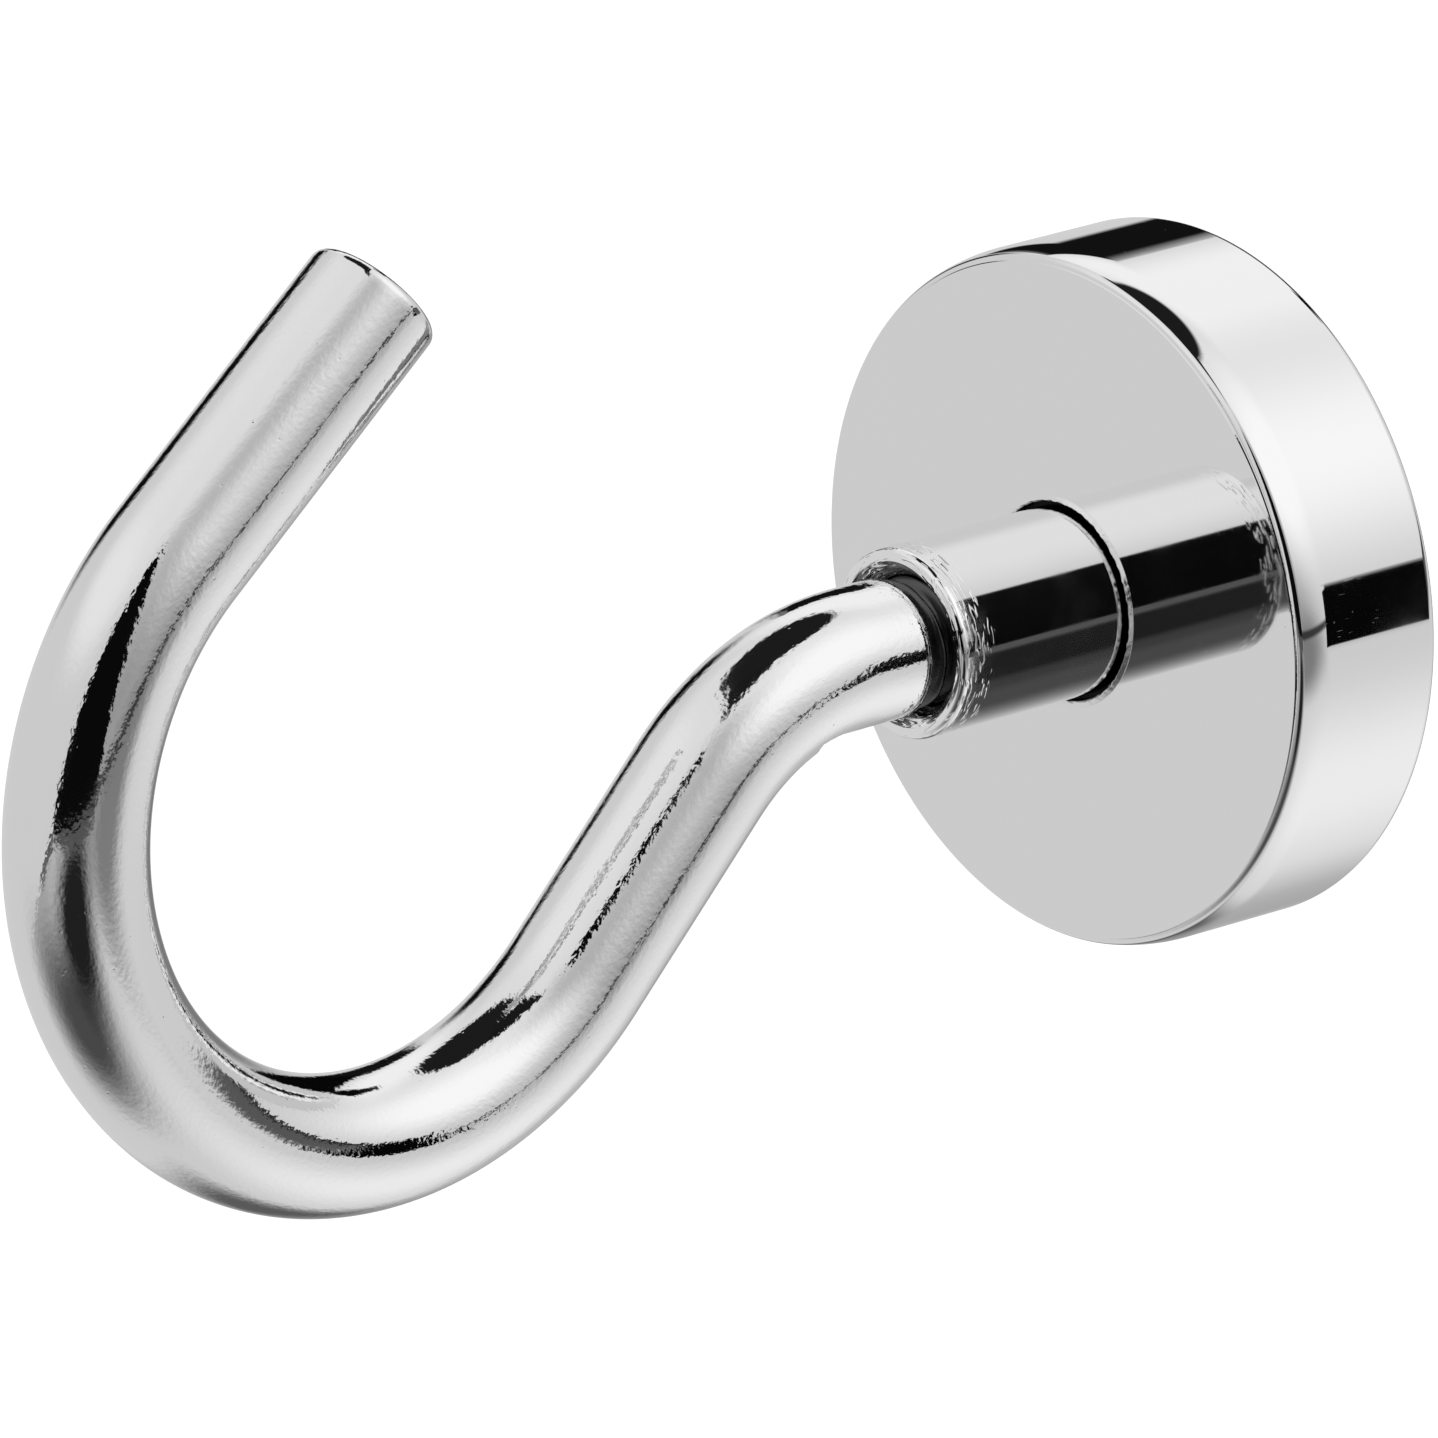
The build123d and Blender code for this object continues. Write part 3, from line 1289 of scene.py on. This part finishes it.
    def turn_boss(self) -> bpy.types.Object:
        """Turns the boss from its mouth back to its spigot, and cuts its thread.

        Returns:
            The boss.
        """
        slope_end = self.boss_mouth - (self.countersink - self.bore)
        section = HalfSection(
            (
                SectionPoint(self.boss_mouth, self.countersink, self.lip_rounding),
                SectionPoint(self.boss_mouth, self.boss_outside, self.mouth_rounding),
                SectionPoint(self.seat_out, self.boss_outside),
                SectionPoint(self.seat_out, self.spigot),
                SectionPoint(self.floor_out + self.rivet_depth, self.spigot),
                SectionPoint(self.floor_out, self.rivet_radius),
                SectionPoint(self.floor_out, self.bore),
                SectionPoint(slope_end - self.thread_seen, self.bore, divisions=self.thread_rings),
                SectionPoint(slope_end, self.bore, divisions=self.countersink_rings),
            )
        )
        piece = turn_section("boss_bush", section, self.boss_segments)
        thread = Thread(crest=self.bore, root=self.bore + self.thread_depth)
        for vertex in piece.data.vertices:
            spot = vertex.co
            radius = math.hypot(spot.x, spot.z)
            inner = radius < self.countersink - self.thread_margin
            if inner and slope_end - self.thread_seen < -spot.y < self.boss_mouth - self.thread_margin:
                swell_about_axis(spot, max(radius, thread.radius_at(spot)) / radius)
        return piece

    def turn_magnet(self) -> bpy.types.Object:
        """Turns the magnet disc between its two flat faces.

        Returns:
            The magnet.
        """
        section = HalfSection(
            (
                SectionPoint(0, self.magnet_outside / 2),
                SectionPoint(0, self.magnet_outside, self.magnet_rounding),
                SectionPoint(self.magnet_front, self.magnet_outside, self.magnet_rounding),
                SectionPoint(self.magnet_front, self.magnet_outside / 2),
            ),
            closed=False,
        )
        return turn_section("magnet_slab", section, self.cup_segments)

    def cast_resin(self) -> bpy.types.Object:
        """Casts the ring of resin, with a hollow skin that creeps unevenly up its two walls.

        Returns:
            The ring.
        """
        inside = self.magnet_outside
        outside = self.cup_outside - self.cup_wall
        skin = self.resin_recess + self.resin_dip
        section = HalfSection(
            (
                SectionPoint(self.resin_recess, inside),
                SectionPoint(skin, (inside + outside) / 2, self.resin_rounding),
                SectionPoint(self.resin_recess, outside),
                SectionPoint(self.floor_out, outside),
                SectionPoint(self.floor_out, inside),
            )
        )
        piece = turn_section("resin_fill", section, self.cup_segments)
        for vertex in piece.data.vertices:
            if -vertex.co.y < skin + MERGE_REACH:
                creep = 1 + noise.noise(vertex.co / self.resin_creep_size)
                vertex.co.y -= self.resin_creep * creep
        return piece

    def build(self, nodes: dict[str, bpy.types.Object]) -> None:
        """Makes and dresses the pieces of the base.

        Args:
            nodes: The frame's own nodes, of which the hidden glue film is kept.
        """
        dressed = (
            (self.turn_cup(), "pot_cup", "plated_cup", self.cup_plate),
            (self.turn_boss(), "threaded_boss", "plated_boss", self.boss_plate),
            (self.turn_magnet(), "magnet_disc", "nickel_plate", self.nickel),
            (self.cast_resin(), "resin_ring", "potting_resin", self.resin),
        )
        for piece, node, slot, finish in dressed:
            dress(piece, self.body, node, finish)
        glue = nodes["glue_film"]
        glue.data.materials.clear()
        glue.data.materials.append(self.glue.make())


@dataclass(frozen=True)
class BentRod:
    """The hook: a threaded neck and a round rod bent down, round its loop and back to its tip."""

    rod: float = 3.2 * MM
    neck: float = 3.0 * MM
    neck_root: float = 2.42 * MM
    neck_end: float = 8.2 * MM
    neck_chamfer: float = 0.8 * MM
    shoulder: float = 18.6 * MM
    shoulder_slope: float = 0.2 * MM
    shank: float = 2.05 * MM
    drop_radius: float = 12.45 * MM
    drop_angle: float = math.radians(45.3)
    slope: float = 10.55 * MM
    loop_radius: float = 16.3 * MM
    loop_angle: float = math.radians(185.8)
    tip: float = 14.8 * MM
    tip_rounding: float = 0.5 * MM
    tip_steps: int = 8
    tip_inset: float = 0.03 * MM
    jaw_start: float = 2.7 * MM
    jaw_end: float = 6.6 * MM
    jaw_depth: float = 0.34 * MM
    jaw_turn: float = math.radians(25)
    waviness: float = 0.004 * MM
    wave_length: float = 5.6 * MM
    wave_width: float = 1.4 * MM
    segments: int = 144
    neck_step: float = 0.1 * MM
    shoulder_steps: Sequence[tuple[float, float]] = ((0.15, 0.6), (0.5, 0.92), (1.0, 1.0))
    thread_margin: float = 0.05 * MM
    bend_step: float = 0.3 * MM
    body: str = "hook"
    plate: RodPlate = RodPlate("bright_rod_plate", (0.89, 0.89, 0.895))

    def centreline(self) -> list[Stretch]:
        """Lays out the centreline: shank, drop bend, slope, loop bend and tip.

        Returns:
            The stretches in order.
        """
        full_out = self.shoulder + self.shoulder_slope
        shank = Stretch(Axis.OUT.value * full_out, Axis.OUT.value, self.shank)
        drop = shank.follow(self.drop_radius * self.drop_angle, -self.drop_radius)
        slope = drop.follow(self.slope)
        loop = slope.follow(self.loop_radius * self.loop_angle, self.loop_radius)
        return [shank, drop, slope, loop, loop.follow(self.tip)]

    def bend(self) -> bpy.types.Object:
        """Extrudes and spins the rod from the inner end of its neck to its tip.

        Returns:
            The bent rod.
        """
        piece = start_ring("bent_rod", self.neck - self.neck_chamfer, self.neck_end, self.segments)
        bpy.ops.mesh.edge_face_add()
        self._extrude_neck()
        stretches = self.centreline()
        for stretch in stretches[:-1]:
            self._lead(stretch, stretch.length)
        self._lead(stretches[-1], self.tip - self.tip_rounding)
        self._round_tip(*stretches[-1].at(self.tip - self.tip_rounding))
        close_piece()
        self._work_surface(piece, stretches)
        return piece

    def _extrude_neck(self) -> None:
        """Extrudes the neck and its shoulder up to the full rod."""
        radius, out = self.neck - self.neck_chamfer, self.neck_end
        steps = round((self.shoulder - self.neck_end) / self.neck_step)
        places = [self.neck_end + self.neck_step * step for step in range(1, steps + 1)]
        sizes = [min(self.neck, radius + place - self.neck_end) for place in places]
        for share, grown in self.shoulder_steps:
            places.append(self.shoulder + self.shoulder_slope * share)
            sizes.append(self.neck + (self.rod - self.neck) * grown)
        for place, size in zip(places, sizes):
            extrude_ring(place - out, size / radius, place)
            out, radius = place, size

    def _lead(self, stretch: Stretch, length: float) -> None:
        """Leads the selected ring along a stretch.

        Args:
            stretch: The stretch, at whose start the ring lies.
            length: How far to go.
        """
        if stretch.bend:
            reach = abs(stretch.bend) + self.rod
            steps = math.ceil(abs(stretch.angle) * reach / self.bend_step)
            bpy.ops.mesh.spin(steps=steps, angle=stretch.angle, center=stretch.centre, axis=Axis.ACROSS.value)
            return
        steps = math.ceil(length / self.bend_step)
        for _ in range(steps):
            extrude(stretch.along * (length / steps))

    def _round_tip(self, start: Vector, along: Vector) -> None:
        """Rounds the tip's edge ring by ring and closes its end.

        Args:
            start: Centre of the last full ring.
            along: Unit direction of the rod there.
        """
        last_reach, last_radius = 0.0, self.rod
        for step in range(1, self.tip_steps + 2):
            angle = math.pi / 2 * min(step / self.tip_steps, 1.0)
            reach = self.tip_rounding * math.sin(angle)
            radius = self.rod - self.tip_rounding * (1 - math.cos(angle))
            radius -= self.tip_inset if step > self.tip_steps else 0.0
            extrude(along * (reach - last_reach))
            bpy.ops.transform.resize(value=(radius / last_radius,) * 3, center_override=start + along * reach)
            last_reach, last_radius = reach, radius
        bpy.ops.mesh.edge_face_add()

    def _work_surface(self, piece: bpy.types.Object, stretches: Sequence[Stretch]) -> None:
        """Cuts the thread, presses the bending jaw's mark and stores the place before bending.

        Args:
            piece: The smooth rod.
            stretches: Its centreline.
        """
        attribute = piece.data.attributes.new(self.plate.attribute, "FLOAT_VECTOR", "POINT")
        thread = Thread(crest=self.neck, root=self.neck_root)
        normals = [normal.vector.copy() for normal in piece.data.vertex_normals]
        for vertex in piece.data.vertices:
            spot = vertex.co
            place = min((stretch.unbend(spot) for stretch in stretches), key=lambda found: found[0])[1]
            attribute.data[vertex.index].vector = place
            if -spot.y < self.shoulder - self.thread_margin:
                radius = math.hypot(spot.x, spot.z)
                swell_about_axis(spot, min(radius, thread.radius_at(spot)) / radius)
                continue
            along = place.x / self.wave_length
            swell = noise.noise(Vector((along, place.y / self.wave_width, place.z / self.wave_width)))
            vertex.co = spot + normals[vertex.index] * (swell * self.waviness - self.waviness)
            if self.jaw_start < place.x < self.jaw_end:
                share = (place.x - self.jaw_start) / (self.jaw_end - self.jaw_start)
                reach = place.y * math.sin(self.jaw_turn) - place.z * math.cos(self.jaw_turn)
                press = max(reach - self.rod + self.jaw_depth * share, 0.0)
                inward = self._upward(place.x, stretches) * math.cos(self.jaw_turn)
                vertex.co += (inward - Axis.ACROSS.value * math.sin(self.jaw_turn)) * press

    @staticmethod
    def _upward(length: float, stretches: Sequence[Stretch]) -> Vector:
        """Direction across the rod in its plane at a length along it.

        Args:
            length: Distance along the whole rod.
            stretches: Its centreline.

        Returns:
            The unit direction, on the upper side of the shank.
        """
        stretch = next(found for found in stretches if length <= found.before + found.length)
        along = stretch.at(length - stretch.before)[1]
        return Vector((0, along.z, -along.y))

    def build(self) -> None:
        """Makes and dresses the hook."""
        dress(self.bend(), self.body, "hook", self.plate)


def dress(piece: bpy.types.Object, body: str, node: str, finish: Finish) -> None:
    """Gives a piece its body and its finish, and hides the frame's node that it stands for.

    Args:
        piece: The finished mesh.
        body: The frame's body that it moves with.
        node: The frame's node that it replaces.
        finish: The finish.
    """
    piece.data.materials.clear()
    piece.data.materials.append(finish.make())
    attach(piece, body)
    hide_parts(node)
    LOG.info("%s: %d faces, %s", piece.name, len(piece.data.polygons), finish.name)


def corners(box: Sequence[Sequence[float]]) -> list[list[float]]:
    """A box's two corners as plain lists."""
    return [list(corner) for corner in box]


def main() -> None:
    """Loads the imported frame, builds the dressed pieces and sets up the studio."""
    logging.basicConfig(level=logging.INFO, format="%(asctime)s %(name)s: %(message)s")
    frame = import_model()
    bpy.context.scene.view_settings.view_transform = "Standard"
    MagnetBase.from_frame().build(frame["nodes"])
    BentRod().build()
    visual_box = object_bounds()
    studio = Studio()
    studio.hang()
    studio.lay_floor(visual_box[0][2])
    Viewpoint().place()


if __name__ == "__main__":
    main()
